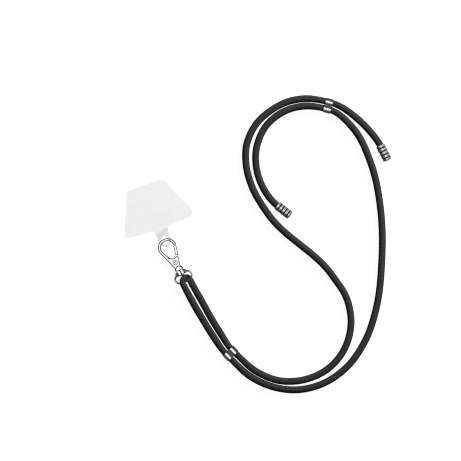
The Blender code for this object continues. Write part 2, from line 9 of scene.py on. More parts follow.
import json
import logging
import math
from dataclasses import dataclass, field
from enum import Enum
from typing import Any, Iterable, Sequence

import bmesh
import bpy
from mathutils import Matrix, Vector

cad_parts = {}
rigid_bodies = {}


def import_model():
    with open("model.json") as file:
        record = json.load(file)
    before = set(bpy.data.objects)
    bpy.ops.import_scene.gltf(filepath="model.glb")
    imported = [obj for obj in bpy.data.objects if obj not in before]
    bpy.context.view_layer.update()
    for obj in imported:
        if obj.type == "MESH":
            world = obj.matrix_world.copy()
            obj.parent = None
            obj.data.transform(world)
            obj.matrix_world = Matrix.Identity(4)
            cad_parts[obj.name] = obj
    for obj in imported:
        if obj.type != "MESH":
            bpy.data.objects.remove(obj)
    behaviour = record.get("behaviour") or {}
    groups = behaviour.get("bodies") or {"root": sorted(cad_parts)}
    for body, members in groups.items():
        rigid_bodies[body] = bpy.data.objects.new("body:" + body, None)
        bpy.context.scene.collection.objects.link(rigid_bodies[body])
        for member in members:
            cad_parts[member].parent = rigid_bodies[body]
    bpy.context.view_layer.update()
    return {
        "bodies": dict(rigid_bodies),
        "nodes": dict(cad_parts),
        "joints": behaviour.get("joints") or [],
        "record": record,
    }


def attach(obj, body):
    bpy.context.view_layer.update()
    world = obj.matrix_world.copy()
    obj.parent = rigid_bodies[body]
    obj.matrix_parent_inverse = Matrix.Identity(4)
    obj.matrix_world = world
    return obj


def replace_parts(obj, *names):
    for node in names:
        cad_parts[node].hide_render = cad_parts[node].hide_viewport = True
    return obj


LOG = logging.getLogger("crossbody_strap")
MM = 0.001
IMAGE_SIDE = 461


class Body(Enum):
    """The bodies that a piece can ride on."""

    STRAP = "strap"
    HOOK = "hook"
    GATE = "gate"


class Slot(Enum):
    """The record's material slots."""

    CORD = "cord_braid"
    METAL = "bright_nickel"
    PATCH = "clear_patch"


class Side(Enum):
    """Which of a slide's two barrels the cord goes through, seen along the slide's heading."""

    LEFT = 1
    RIGHT = -1


class Sum:
    """A shader socket that can be used in Python arithmetic."""

    def __init__(self, shader: Shader, socket: bpy.types.NodeSocket) -> None:
        """Wrap an output socket of a shader's tree."""
        self.shader = shader
        self.socket = socket

    def _with(self, operation: str, first: Any, second: Any = None) -> Sum:
        """Add one Math node on two operands."""
        inputs = {0: first} if second is None else {0: first, 1: second}
        return self.shader.add("ShaderNodeMath", inputs, operation=operation)

    def __add__(self, other: Any) -> Sum:
        """Sum of the two."""
        return self._with("ADD", self, other)

    __radd__ = __add__

    def __mul__(self, other: Any) -> Sum:
        """Product of the two."""
        return self._with("MULTIPLY", self, other)

    __rmul__ = __mul__

    def __sub__(self, other: Any) -> Sum:
        """This less the other."""
        return self._with("SUBTRACT", self, other)

    def __rsub__(self, other: Any) -> Sum:
        """The other less this."""
        return self._with("SUBTRACT", other, self)

    def __truediv__(self, other: Any) -> Sum:
        """This over the other."""
        return self._with("DIVIDE", self, other)

    def __pow__(self, other: Any) -> Sum:
        """This to a power."""
        return self._with("POWER", self, other)

    def sine(self) -> Sum:
        """Sine of an angle in radians."""
        return self._with("SINE", self)

    def absolute(self) -> Sum:
        """The value without its sign."""
        return self._with("ABSOLUTE", self)

    def fraction(self) -> Sum:
        """The part after the decimal point."""
        return self._with("FRACT", self)

    def larger(self, other: Any) -> Sum:
        """The larger of the two."""
        return self._with("MAXIMUM", self, other)


class Shader:
    """A node material under construction."""

    def __init__(self, name: str) -> None:
        """Start an empty material of this name.

        Args:
            name: The material's name.
        """
        self.material = bpy.data.materials.new(name)
        self.material.use_nodes = True
        self.tree = self.material.node_tree
        self.tree.nodes.clear()
        self.output = self.tree.nodes.new("ShaderNodeOutputMaterial")

    def add(self, kind: str, inputs: dict[Any, Any] | None = None, out: Any = 0, **settings: Any) -> Sum:
        """Add a node of any type.

        Args:
            kind: The node's type.
            inputs: Values or sockets for its inputs, by name or number.
            out: Which output to return.
            **settings: Node properties, which are set first.

        Returns:
            The wrapped output.
        """
        node = self.tree.nodes.new(kind)
        stops = settings.pop("stops", None)
        for key, value in settings.items():
            setattr(node, key, value)
        if stops:
            while len(node.color_ramp.elements) < len(stops):
                node.color_ramp.elements.new(0.5)
            for element, (place, shade) in zip(node.color_ramp.elements, stops):
                element.position = place
                element.color = (*shade, 1.0) if isinstance(shade, tuple) else (shade, shade, shade, 1.0)
        for key, value in (inputs or {}).items():
            if isinstance(value, Sum):
                self.tree.links.new(value.socket, node.inputs[key])
            else:
                node.inputs[key].default_value = value
        return Sum(self, node.outputs[out])

    def principled(self, inputs: dict[str, Any]) -> bpy.types.Material:
        """Finish the material with a Principled surface.

        Args:
            inputs: Values or sockets for the surface.

        Returns:
            The finished material.
        """
        surface = self.add("ShaderNodeBsdfPrincipled", inputs)
        self.tree.links.new(surface.socket, self.output.inputs["Surface"])
        return self.material

    def coordinates(self, scale: float = 1.0) -> Sum:
        """Object coordinates in metres, times a scale."""
        place = self.add("ShaderNodeTexCoord", out="Object")
        return self.add("ShaderNodeMapping", {"Vector": place, "Scale": (scale, scale, scale)})

    def noise(self, place: Sum, scale: float, detail: float = 3.0) -> Sum:
        """A noise value from 0 to 1 at a place."""
        return self.add("ShaderNodeTexNoise", {"Vector": place, "Scale": scale, "Detail": detail})

    def bump(self, height: Sum, distance: float, strength: float = 1.0) -> Sum:
        """A bumped normal from a height."""
        return self.add(
            "ShaderNodeBump", {"Height": height, "Distance": distance, "Strength": strength}
        )

    def mix_colour(self, factor: Any, first: Any, second: Any) -> Sum:
        """A colour between two."""
        node = self.tree.nodes.new("ShaderNodeMix")
        node.data_type = "RGBA"
        for socket, value in ((node.inputs[0], factor), (node.inputs[6], first), (node.inputs[7], second)):
            if isinstance(value, Sum):
                self.tree.links.new(value.socket, socket)
            else:
                socket.default_value = value
        return Sum(self, node.outputs[2])


@dataclass(frozen=True)
class BraidFinish:
    """Charcoal polyester braid: fine crossing yarns, matt, with a soft sheen."""

    dark: tuple[float, float, float, float] = (0.003, 0.003, 0.003, 1.0)
    light: tuple[float, float, float, float] = (0.031, 0.031, 0.031, 1.0)
    roughness: float = 0.78
    fibre_depth: float = 0.05 * MM

    def material(self) -> bpy.types.Material:
        """Build the braid's material, on the cord's own UV map in units of one yarn."""
        shader = Shader("charcoal_braid")
        uv = shader.add("ShaderNodeUVMap", uv_map="yarn")
        axes = self._split(shader, uv)
        crossing = ((axes[0] * math.tau).sine() * (axes[1] * math.tau).sine()).absolute()
        fibres = (((axes[0] + axes[1]) * (math.tau * 4)).sine() + ((axes[0] - axes[1]) * (math.tau * 4)).sine()) * 0.25 + 0.5
        blotch = shader.noise(shader.coordinates(), 900.0, 2.0)
        # Partly painted shade: the colour is lighter where the bump is high and darker in the grooves between yarns
        # and fibres; the blotch adds random tone.
        shade = crossing * 0.55 + fibres * 0.25 + blotch * 0.35
        colour = shader.mix_colour(shade, self.dark, self.light)
        normal = shader.bump(fibres * 0.5 + crossing, self.fibre_depth, 0.8)
        return shader.principled({
            "Base Color": colour,
            "Roughness": self.roughness,
            "Specular IOR Level": 0.08,
            "Sheen Weight": 0.02,
            "Sheen Roughness": 0.5,
            "Sheen Tint": (0.55, 0.56, 0.6, 1.0),
            "Normal": normal,
        })

    @staticmethod
    def _split(shader: Shader, vector: Sum) -> tuple[Sum, Sum]:
        """The first two numbers of a vector."""
        node = shader.tree.nodes.new("ShaderNodeSeparateXYZ")
        shader.tree.links.new(vector.socket, node.inputs[0])
        return Sum(shader, node.outputs[0]), Sum(shader, node.outputs[1])


@dataclass(frozen=True)
class NickelFinish:
    """Polished or blasted nickel plate, with faint polishing marks and tiny handling wear."""

    name: str = "bright_nickel"
    colour: tuple[float, float, float, float] = (0.90, 0.90, 0.905, 1.0)
    worn: tuple[float, float, float, float] = (0.80, 0.80, 0.81, 1.0)
    roughness: float = 0.12
    metallic: float = 1.0

    def material(self) -> bpy.types.Material:
        """Build the plated metal's material."""
        shader = Shader(self.name)
        place = shader.coordinates()
        cloud = shader.noise(place, 180.0, 3.0)
        marks = shader.noise(place, 3200.0, 2.0)
        colour = shader.mix_colour(cloud, self.worn, self.colour)
        roughness = cloud * 0.07 + marks * 0.03 + (self.roughness - 0.05)
        normal = shader.bump(marks, 0.004 * MM, 0.25)
        return shader.principled({
            "Base Color": colour,
            "Metallic": self.metallic,
            "Roughness": roughness,
            "Normal": normal,
        })


@dataclass(frozen=True)
class ClearFinish:
    """Clear soft plastic sheet, slightly milky, with a faint moulded haze."""

    colour: tuple[float, float, float, float] = (0.20, 0.202, 0.205, 1.0)
    milky: tuple[float, float, float, float] = (0.29, 0.292, 0.295, 1.0)
    alpha: float = 0.13
    roughness: float = 0.22

    def material(self) -> bpy.types.Material:
        """Build the sheet's material."""
        shader = Shader("clear_soft_plastic")
        place = shader.coordinates()
        haze = shader.noise(place, 90.0, 4.0)
        grain = shader.noise(place, 1500.0, 2.0)
        colour = shader.mix_colour(haze, self.colour, self.milky)
        edge = shader.add("ShaderNodeLayerWeight", {"Blend": 0.35}, out="Facing")
        return shader.principled({
            "Base Color": colour,
            "Roughness": grain * 0.12 + self.roughness,
            "IOR": 1.49,
            "Coat Weight": 0.3,
            "Coat Roughness": 0.12,
            "Alpha": haze * 0.08 + edge * 0.30 + self.alpha,
            "Normal": shader.bump(grain + haze, 0.03 * MM, 0.3),
        })


def smoothed(t: float) -> float:
    """An eased share, from 0 to 1."""
    return t * t * (3 - 2 * t)


def flat(angle: float) -> Vector:
    """The flat unit vector at an angle from +X."""
    return Vector((math.cos(angle), math.sin(angle), 0.0))


@dataclass
class Layout:
    """Where the fittings lie, in millimetres seen from above, as in the model."""

    crown: Vector = field(default_factory=lambda: Vector((13.5, -37.6, 0.0)))
    hook_heading: float = math.radians(-61.6)
    hook_height: float = 4.5
    upper_slide: Vector = field(default_factory=lambda: Vector((174.0, 104.1, 0.0)))
    upper_heading: float = math.radians(-15.2)
    lower_slide: Vector = field(default_factory=lambda: Vector((76.65, -143.25, 0.0)))
    lower_heading: float = math.radians(-45.4)
    outer_cap: Vector = field(default_factory=lambda: Vector((225.9, 64.5, 0.0)))
    outer_heading: float = math.radians(-62.3)
    inner_cap: Vector = field(default_factory=lambda: Vector((123.0, 4.7, 0.0)))
    inner_heading: float = math.radians(-38.0)
    cap_radius: float = 4.6
    cap_depth: float = 13.2
    slide_pitch: float = 7.2
    slide_height: float = 3.85
    slide_length: float = 7.8
    bail_bar_x: float = 38.6
    bail_wire: float = 0.95
    bail_tilt: float = math.radians(21)

    def hook_point(self, x: float, y: float, z: float) -> Vector:
        """A point of the hook's frame in the model's frame, in millimetres."""
        turn = Matrix.Rotation(self.hook_heading, 4, "Z")
        raised = Vector((self.crown.x, self.crown.y, self.hook_height))
        return raised + turn @ Vector((x, y, z))

    def in_hook(self, point: Vector) -> Vector:
        """A point of the model's frame, in metres, in the hook's frame, in millimetres."""
        turn = Matrix.Rotation(-self.hook_heading, 4, "Z")
        return turn @ (point / MM - Vector((self.crown.x, self.crown.y, self.hook_height)))


@dataclass
class Station:
    """A point of the cord's route, with half its height and half its width there, in
    millimetres."""

    place: Vector
    radius: float
    width: float


@dataclass
class Rope:
    """The one braided cord, doubled through the bail, with its yarns in relief."""

    layout: Layout
    radius: float = 3.4
    slide_radius: float = 3.1
    bight_radius: float = 2.4
    bight_width: float = 3.2
    bight_gap: float = 0.35
    ring_step: float = 0.66
    sides: int = 40
    relief: float = 0.17

    outer_loop = ((215.3, 79.2), (203.9, 90.6))
    outer_return = (
        (151.0, 111.2), (134.6, 108.4), (119.9, 101.4), (101.8, 85.3), (92.4, 64.0), (92.0, 45.8),
        (98.3, 22.5), (113.6, -3.5), (178.0, -65.2), (193.2, -90.0), (196.8, -115.0),
        (188.0, -143.0), (171.3, -160.4), (148.9, -169.8), (124.9, -170.4), (103.0, -161.8),
    )
    right_strand = ((67.2, -124.3), (58.5, -110.3), (46.5, -88.8))
    left_strand = ((37.1, -89.2), (45.1, -103.2), (57.8, -124.0))
    inner_loop = (
        (95.9, -166.0), (118.0, -176.4), (140.2, -179.7), (166.6, -174.3), (193.0, -156.5),
        (211.7, -129.3), (222.0, -98.6), (227.5, -53.0), (226.7, -2.0), (217.2, 45.2),
        (198.7, 82.0),
    )
    inner_return = (
        (151.0, 103.8), (131.0, 98.9), (113.4, 85.6), (102.2, 60.2), (103.7, 35.8),
    )

    def on_floor(self, points: Iterable[tuple[float, float]]) -> list[Station]:
        """Stations of the cord where it lies on the floor."""
        return [Station(Vector((x, y, self.radius)), self.radius, self.radius) for x, y in points]

    def in_cap(self, mouth: Vector, heading: float) -> list[Station]:
        """Stations of the cord in an end cap, from its blind end outwards."""
        reaches = (self.layout.cap_depth, self.layout.cap_depth / 2, -2.0)
        raised = Vector((mouth.x, mouth.y, self.layout.cap_radius))
        return [Station(raised + flat(heading) * reach, self.radius, self.radius) for reach in reaches]

    def in_slide(self, centre: Vector, heading: float, side: Side) -> list[Station]:
        """Stations of the cord on the axis of one barrel of a slide, just outside its ends."""
        across = flat(heading + math.pi / 2) * side.value * self.layout.slide_pitch / 2
        middle = Vector((centre.x, centre.y, self.layout.slide_height)) + across
        reach = self.layout.slide_length / 2 + 1.2
        ends = (middle - flat(heading) * reach, middle + flat(heading) * reach)
        return [Station(end, self.slide_radius, self.slide_radius) for end in ends]

    def bight(self) -> list[Station]:
        """Stations of the fold round the bail's far bar, from under it to over it."""
        reach = self.layout.bail_wire + self.bight_gap + self.bight_radius
        stations = []
        for degrees, y in ((-90, 4.4), (-45, 3.4), (0, 0.9), (45, -2.0), (90, -3.5)):
            angle = math.radians(degrees)
            height = y * math.tan(self.layout.bail_tilt) + reach * math.sin(angle)
            place = self.layout.hook_point(self.layout.bail_bar_x - reach * math.cos(angle), y, height)
            stations.append(Station(place, self.bight_radius, self.bight_width))
        return stations

    def route(self) -> list[Station]:
        """All the chosen stations, from the outer end cap to the inner one."""
        here = self.layout
        height = here.hook_height
        upper = self.in_slide(here.upper_slide, here.upper_heading, Side.LEFT)
        under = self.in_slide(here.upper_slide, here.upper_heading, Side.RIGHT)
        right = self.in_slide(here.lower_slide, here.lower_heading, Side.LEFT)
        left = self.in_slide(here.lower_slide, here.lower_heading, Side.RIGHT)
        stations = self.in_cap(here.outer_cap, here.outer_heading)
        stations += self.on_floor(self.outer_loop) + upper[::-1]
        stations += self.on_floor(self.outer_return) + right[::-1]
        stations += self.on_floor(self.right_strand)
        stations += [Station(here.hook_point(44.5, 4.4, 3.0 - height), 3.0, 3.3)]
        stations += self.bight()
        stations += [Station(here.hook_point(42.0, -3.6, 6.3 - height), 3.0, 3.3)]
        stations += self.on_floor(self.left_strand) + left
        stations += self.on_floor(self.inner_loop) + under[::-1]
        stations += self.on_floor(self.inner_return)
        stations += self.in_cap(here.inner_cap, here.inner_heading)[::-1]
        return stations

    def dense(self, stations: Sequence[Station], step: float = 0.15) -> list[Station]:
        """Closely spaced stations on the smooth curve through the chosen ones.

        Args:
            stations: The chosen stations.
            step: The rough spacing, in millimetres.

        Returns:
            The dense stations.
        """
        points = [station.place for station in stations]
        last = len(points) - 1
        lengths = [(points[i + 1] - points[i]).length for i in range(last)]
        ways = [(points[i + 1] - points[i]) / lengths[i] for i in range(last)]
        tangents = [ways[0]]
        for i in range(1, last):
            whole = lengths[i - 1] + lengths[i]
            tangents.append((ways[i - 1] * lengths[i] + ways[i] * lengths[i - 1]) / whole)
        tangents.append(ways[-1])
        curve = []
        for i in range(last):
            count = max(2, round(lengths[i] / step))
            for k in range(count):
                t = k / count
                place = (2 * t**3 - 3 * t**2 + 1) * points[i] + (-2 * t**3 + 3 * t**2) * points[i + 1]
                place += (t**3 - 2 * t**2 + t) * lengths[i] * tangents[i]
                place += (t**3 - t**2) * lengths[i] * tangents[i + 1]
                first, second = stations[i], stations[i + 1]
                ease = smoothed(t)
                radius = first.radius + (second.radius - first.radius) * ease
                width = first.width + (second.width - first.width) * ease
                curve.append(Station(place, radius, width))
        curve.append(stations[-1])
        return curve

    def rings(self) -> list[Station]:
        """Stations evenly spaced along the cord, one for each ring of its mesh."""
        curve = self.dense(self.route())
        runs = [0.0]
        for before, after in zip(curve, curve[1:]):
            runs.append(runs[-1] + (after.place - before.place).length)
        count = round(runs[-1] / self.ring_step)
        rings = []
        at = 0
        for k in range(count + 1):
            run = runs[-1] * k / count
            while at < len(runs) - 2 and runs[at + 1] < run:
                at += 1
            share = (run - runs[at]) / (runs[at + 1] - runs[at])
            place = curve[at].place.lerp(curve[at + 1].place, share)
            rings.append(Station(place, curve[at].radius, curve[at].width))
        return rings

    def build(self, braid: bpy.types.Material) -> bpy.types.Object:
        """Args:
            braid: The cord's finish.

        Returns:
            The cord's object.
        """
        rings = self.rings()
        bm = bmesh.new()
        yarn = bm.loops.layers.uv.new("yarn")
        loops = []
        normal = Vector((0, 0, 1))
        for k, ring in enumerate(rings):
            before = rings[max(k - 1, 0)].place
            after = rings[min(k + 1, len(rings) - 1)].place
            along = (after - before).normalized()
            normal = (normal - along * normal.dot(along)).normalized()
            side = along.cross(normal)
            loop = []
            for j in range(self.sides):
                angle = math.tau * j / self.sides
                crest = self.relief if (j + k) % 2 else -0.2 * self.relief
                spoke = normal * math.cos(angle) * (ring.radius + crest)
                spoke += side * math.sin(angle) * (ring.width + crest)
                loop.append(bm.verts.new((ring.place + spoke) * MM))
            loops.append(loop)
        for k, (before, after) in enumerate(zip(loops, loops[1:])):
            for j in range(self.sides):
                n = (j + 1) % self.sides
                face = bm.faces.new((before[j], before[n], after[n], after[j]))
                corners = ((j, k), (j + 1, k), (j + 1, k + 1), (j, k + 1))
                for loop, (u, v) in zip(face.loops, corners):
                    loop[yarn].uv = (u / 4, v / 4)
        bm.faces.new(loops[0][::-1])
        bm.faces.new(loops[-1])
        bmesh.ops.recalc_face_normals(bm, faces=bm.faces)
        piece = finished("braided_cord", bm, braid, 60)
        path = [tuple(ring.place * MM) for ring in rings]
        length = sum((Vector(b) - Vector(a)).length for a, b in zip(path, path[1:]))
        LOG.info("cord: %.3f m long, %d rings", length, len(rings))
        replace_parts(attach(piece, Body.STRAP.value), "cord")
        self.path = path
        self.length = length
        return piece


def finished(name: str, bm: bmesh.types.BMesh, material: bpy.types.Material, sharp: float) -> bpy.types.Object:
    """Make an object from a bmesh in metres, at the origin, smooth up to an angle.

    Args:
        name: The piece's name.
        bm: The mesh, which is freed.
        material: The piece's finish.
        sharp: Edges turned further than this many degrees stay sharp.

    Returns:
        The linked object.
    """
    mesh = bpy.data.meshes.new(name)
    bm.to_mesh(mesh)
    bm.free()
    mesh.shade_smooth()
    mesh.set_sharp_from_angle(angle=math.radians(sharp))
    mesh.materials.append(material)
    piece = bpy.data.objects.new(name, mesh)
    bpy.context.scene.collection.objects.link(piece)
    return piece


def stands_for(piece: bpy.types.Object, node: str, body: Body) -> bpy.types.Object:
    """Let a piece stand for a node of the model, on its body.

    Args:
        piece: The dressed piece.
        node: The node that it replaces.
        body: The body that it rides on.

    Returns:
        The same piece.
    """
    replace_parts(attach(piece, body.value), node)
    return piece


def rounded(rows: Sequence[tuple[float, float]], radius: float, steps: int = 4) -> list[Vector]:
    """Round the corners of an open outline, with a guard point beside each rounding so that the
    flats next to it stay flat when shaded.

    Args:
        rows: The outline's points, in millimetres.
        radius: How far each rounding reaches along its two sides.
        steps: How many parts each rounding has.

    Returns:
        The rounded outline.
    """
    points = [Vector(row) for row in rows]
    made = [points[0]]
    for before, here, after in zip(points, points[1:], points[2:]):
        back = before - here
        ahead = after - here
        reach = min(radius, 0.42 * back.length, 0.42 * ahead.length)
        start = here + back.normalized() * reach
        end = here + ahead.normalized() * reach
        made.append(here + back.normalized() * reach * 1.15)
        for k in range(steps + 1):
            t = k / steps
            made.append(start * (1 - t) ** 2 + here * 2 * t * (1 - t) + end * t**2)
        made.append(here + ahead.normalized() * reach * 1.15)
    made.append(points[-1])
    return made


def spun(rows: Sequence[Vector], sides: int) -> bmesh.types.BMesh:
    """Turn an outline about the x axis.

    Args:
        rows: The (x, radius) points, which start and end on the axis.
        sides: How many sides the turned form has.

    Returns:
        The closed mesh, in millimetres.
    """
    bm = bmesh.new()
    angles = [math.tau * j / sides for j in range(sides)]
    rings = [[bm.verts.new((rows[0].x, 0.0, 0.0))]]
    for x, radius in rows[1:-1]:
        rings.append([bm.verts.new((x, radius * math.cos(a), radius * math.sin(a))) for a in angles])
    rings.append([bm.verts.new((rows[-1].x, 0.0, 0.0))])
    for before, after in zip(rings, rings[1:]):
        for j in range(sides):
            n = (j + 1) % sides
            corners = [before[j % len(before)], before[n % len(before)]]
            corners += [after[n % len(after)], after[j % len(after)]]
            bm.faces.new(list(dict.fromkeys(corners)))
    return bm


def settled(bm: bmesh.types.BMesh, place: Vector, heading: float) -> bmesh.types.BMesh:
    """Turn and move a mesh to its place and change it from millimetres to metres."""
    turn = Matrix.Rotation(heading, 4, "Z")
    bm.transform(Matrix.Scale(MM, 4) @ Matrix.Translation(place) @ turn)
    bmesh.ops.recalc_face_normals(bm, faces=bm.faces)
    return bm


@dataclass
class Cap:
    """A turned end cap: a collar, four rounded grooves, gently barrelled lands and a domed end."""

    wall: float = 0.9
    bore: float = 3.7
    bore_depth: float = 13.5
    length: float = 17.0
    collar: float = 2.3
    grooves: int = 4
    pitch: float = 3.6
    groove_width: float = 1.4
    groove_depth: float = 0.5
    dome: float = 0.9
    edge: float = 0.3
    crown: float = 0.1
    sides: int = 72

    def outline(self) -> list[Vector]:
        """The (x, radius) outline from the blind end of the bore round to the dome."""
        radius = self.bore + self.wall
        land = radius - self.crown
        rows = [(self.bore_depth, 0.0), (self.bore_depth, self.bore), (self.edge, self.bore)]
        rows += [(0.0, self.bore + self.edge), (0.0, land - self.edge), (self.edge, land)]
        rows += [(self.collar * 0.55, radius)]
        for groove in range(self.grooves):
            start = self.collar + groove * self.pitch
            end = start + self.groove_width
            rows += [(start, land), ((start + end) / 2, radius - self.groove_depth), (end, land)]
            if groove < self.grooves - 1:
                rows.append(((end + start + self.pitch) / 2, radius))
        far = self.length - self.dome
        rows += [(far - self.edge, land), (far, land - self.edge)]
        rows += [(self.length - 0.3 * self.dome, radius * 0.6), (self.length, 0.0)]
        return rounded(rows, 0.12)

    def build(
        self, node: str, mouth: Vector, heading: float, material: bpy.types.Material, painted_shade: bpy.types.Material
    ) -> bpy.types.Object:
        """Make one cap in place of its node.

        Args:
            node: The node that it stands for.
            mouth: The middle of its open end, in millimetres.
            heading: The way from its mouth to its dome.
            material: The cap's finish.
            painted_shade: The painted shade for its grooves.

        Returns:
            The cap.
        """
        bm = spun(self.outline(), self.sides)
        # Faces in the deeper part of the grooves, and on the rounded edge before the dome, get the painted shade.
        deep = self.bore + self.wall - 0.35 * self.groove_depth
        for face in bm.faces:
            middle = face.calc_center_median()
            in_grooves = self.collar < middle.x < self.collar + self.grooves * self.pitch
            face.material_index = int(in_grooves and self.bore < math.hypot(middle.y, middle.z) - 0.05 < deep)
        place = Vector((mouth.x, mouth.y, self.bore + self.wall))
        piece = finished(f"{node}_turned", settled(bm, place, heading), material, 60)
        piece.data.materials.append(painted_shade)
        return stands_for(piece, node, Body.STRAP)


@dataclass
class Slide:
    """A double-barrel cord slide with rolled rims, open at both ends."""

    layout: Layout
    bore: float = 3.4
    wall: float = 0.45
    edge: float = 0.4
    waist: float = 50.0
    valley: float = 2.16
    steps: int = 44

    def outline(self, inset: float) -> list[tuple[float, float]]:
        """The (y, z) outline of the two barrels, drawn in by an inset."""
        half = self.layout.slide_pitch / 2
        barrel = self.bore + self.wall
        points = []
        for side, start in ((1, self.waist - 180), (-1, self.waist)):
            for k in range(self.steps + 1):
                angle = math.radians(start + 2 * (180 - self.waist) * k / self.steps)
                reach = barrel - inset
                points.append((side * half + reach * math.cos(angle), reach * math.sin(angle)))
            points.append((0.0, side * (self.valley - inset)))
        return points

    def shell(self) -> bmesh.types.BMesh:
        """The solid figure of eight along x, its rims rolled over, before the bores are cut."""
        half = self.layout.slide_length / 2
        rows = [(-half, self.edge)]
        for k in range(1, 6):
            angle = math.pi / 2 * k / 5
            rows.append((-half + self.edge * (1 - math.cos(angle)), self.edge * (1 - math.sin(angle))))
        rows.append((-half + self.edge * 1.3, 0.0))
        rows += [(-x, inset) for x, inset in reversed(rows)]
        bm = bmesh.new()
        rings = [[bm.verts.new((x, y, z)) for y, z in self.outline(inset)] for x, inset in rows]
        for before, after in zip(rings, rings[1:]):
            for j in range(len(before)):
                n = (j + 1) % len(before)
                bm.faces.new((before[j], before[n], after[n], after[j]))
        bm.faces.new(rings[0])
        bm.faces.new(rings[-1])
        return bm

    def build(self, node: str, centre: Vector, heading: float, material: bpy.types.Material) -> bpy.types.Object:
        """Make one slide in place of its node.

        Args:
            node: The node that it stands for.
            centre: Its middle seen from above, in millimetres.
            heading: The way its barrels run.
            material: The slide's finish.

        Returns:
            The slide.
        """
        place = Vector((centre.x, centre.y, self.layout.slide_height))
        piece = finished(f"{node}_rolled", settled(self.shell(), place, heading), material, 50)
        far = self.layout.slide_length
        for side in Side:
            across = flat(heading + math.pi / 2) * side.value * self.layout.slide_pitch / 2
            rows = [Vector((-far, 0)), Vector((-far, self.bore)), Vector((far, self.bore)), Vector((far, 0))]
            bore = finished(f"{node}_bore", settled(spun(rows, 80), place + across, heading), material, 50)
            carve(piece, bore)
        soften_rims(piece, 0.06 * MM, 55)
        bake(piece, 50)
        return stands_for(piece, node, Body.STRAP)


def carve(piece: bpy.types.Object, tool: bpy.types.Object) -> None:
    """Cut a tool out of a piece and throw the tool away.

    Args:
        piece: The piece that is cut.
        tool: The shape that is cut out.
    """
    cut = piece.modifiers.new("cut", "BOOLEAN")
    cut.operation = "DIFFERENCE"
    cut.solver = "EXACT"
    cut.object = tool
    bake(piece, 50)
    bpy.data.objects.remove(tool)


def soften_rims(piece: bpy.types.Object, width: float, sharper_than: float) -> None:
    """Add a small bevel on the edges that turn further than an angle."""
    bevel = piece.modifiers.new("softened_rims", "BEVEL")
    bevel.width = width
    bevel.segments = 3
    bevel.limit_method = "ANGLE"
    bevel.angle_limit = math.radians(sharper_than)


def bake(piece: bpy.types.Object, sharp: float) -> None:
    """Turn a piece's modifiers into its mesh.

    Args:
        piece: The piece.
        sharp: Edges turned further than this many degrees stay sharp.
    """
    graph = bpy.context.evaluated_depsgraph_get()
    graph.update()
    mesh = bpy.data.meshes.new_from_object(piece.evaluated_get(graph))
    piece.modifiers.clear()
    old = piece.data
    mesh.name = old.name
    piece.data = mesh
    bpy.data.meshes.remove(old)
    mesh.shade_smooth()
    mesh.set_sharp_from_angle(angle=math.radians(sharp))


@dataclass
class Casting:
    """A cast and tumbled fitting: the model's own form with every edge worn round."""

    node: str
    body: Body
    voxel: float = 0.13 * MM
    rounds: int = 14
    keep: float = 0.5
    swell: float = 0.0
    cuts: tuple[tuple[tuple[float, float, float], tuple[float, float, float], float], ...] = ()
    # Boxes in the hook's frame, in millimetres, whose faces get the painted shade of gaps and slits.
    dark: tuple[tuple[tuple[float, float, float], tuple[float, float, float]], ...] = ()

    def build(
        self, frame: dict[str, Any], layout: Layout, material: bpy.types.Material, painted_shade: bpy.types.Material
    ) -> bpy.types.Object:
        """Make the casting in place of its node.

        Args:
            frame: The loaded frame.
            layout: Where the hook lies, for the cuts.
            material: The fitting's finish.
            painted_shade: The painted shade for its gaps and slit.

        Returns:
            The fitting.
        """
        bm = bmesh.new()
        bm.from_mesh(frame["nodes"][self.node].data)
        bmesh.ops.remove_doubles(bm, verts=bm.verts, dist=1e-6)
        piece = finished(f"{self.node}_cast", bm, material, 180)
        for low, high, keel in self.cuts:
            carve(piece, self.groove(layout, Vector(low), Vector(high), keel, material))
        skin = piece.modifiers.new("skin", "REMESH")
        skin.mode = "VOXEL"
        skin.voxel_size = self.voxel
        smooth = piece.modifiers.new("tumbled", "SMOOTH")
        smooth.factor = 0.5
        smooth.iterations = self.rounds
        plate = piece.modifiers.new("plated", "DISPLACE")
        plate.mid_level = 0.0
        plate.strength = self.swell
        thin = piece.modifiers.new("thinned", "DECIMATE")
        thin.ratio = self.keep
        bake(piece, 180)
        # The faces inside the dark boxes get the painted shade.
        piece.data.materials.append(painted_shade)
        for face in piece.data.polygons:
            here = layout.in_hook(face.center)
            face.material_index = int(any(
                all(a < value < b for a, value, b in zip(low, here, high)) for low, high in self.dark
            ))
        return stands_for(piece, self.node, self.body)

    @staticmethod
    def groove(
        layout: Layout, low: Vector, high: Vector, keel: float, material: bpy.types.Material
    ) -> bpy.types.Object:
        """A block to cut out, in the hook's frame, in millimetres.

        Args:
            layout: Where the hook lies.
            low: The block's lowest corner.
            high: Its highest corner.
            keel: How far its underside rises from the middle to both sides.
            material: Any finish.

        Returns:
            The block.
        """
        middle = (low.y + high.y) / 2
        section = ((low.y, high.z), (low.y, low.z + keel), (middle, low.z), (high.y, low.z + keel), (high.y, high.z))
        bm = bmesh.new()
        near, far = ([bm.verts.new((x, y, z)) for y, z in section] for x in (low.x, high.x))
        for j in range(len(section)):
            n = (j + 1) % len(section)
            bm.faces.new((near[j], near[n], far[n], far[j]))
        bm.faces.new(near)
        bm.faces.new(far)
        place = Vector((layout.crown.x, layout.crown.y, layout.hook_height))
        return finished("groove", settled(bm, place, layout.hook_heading), material, 30)


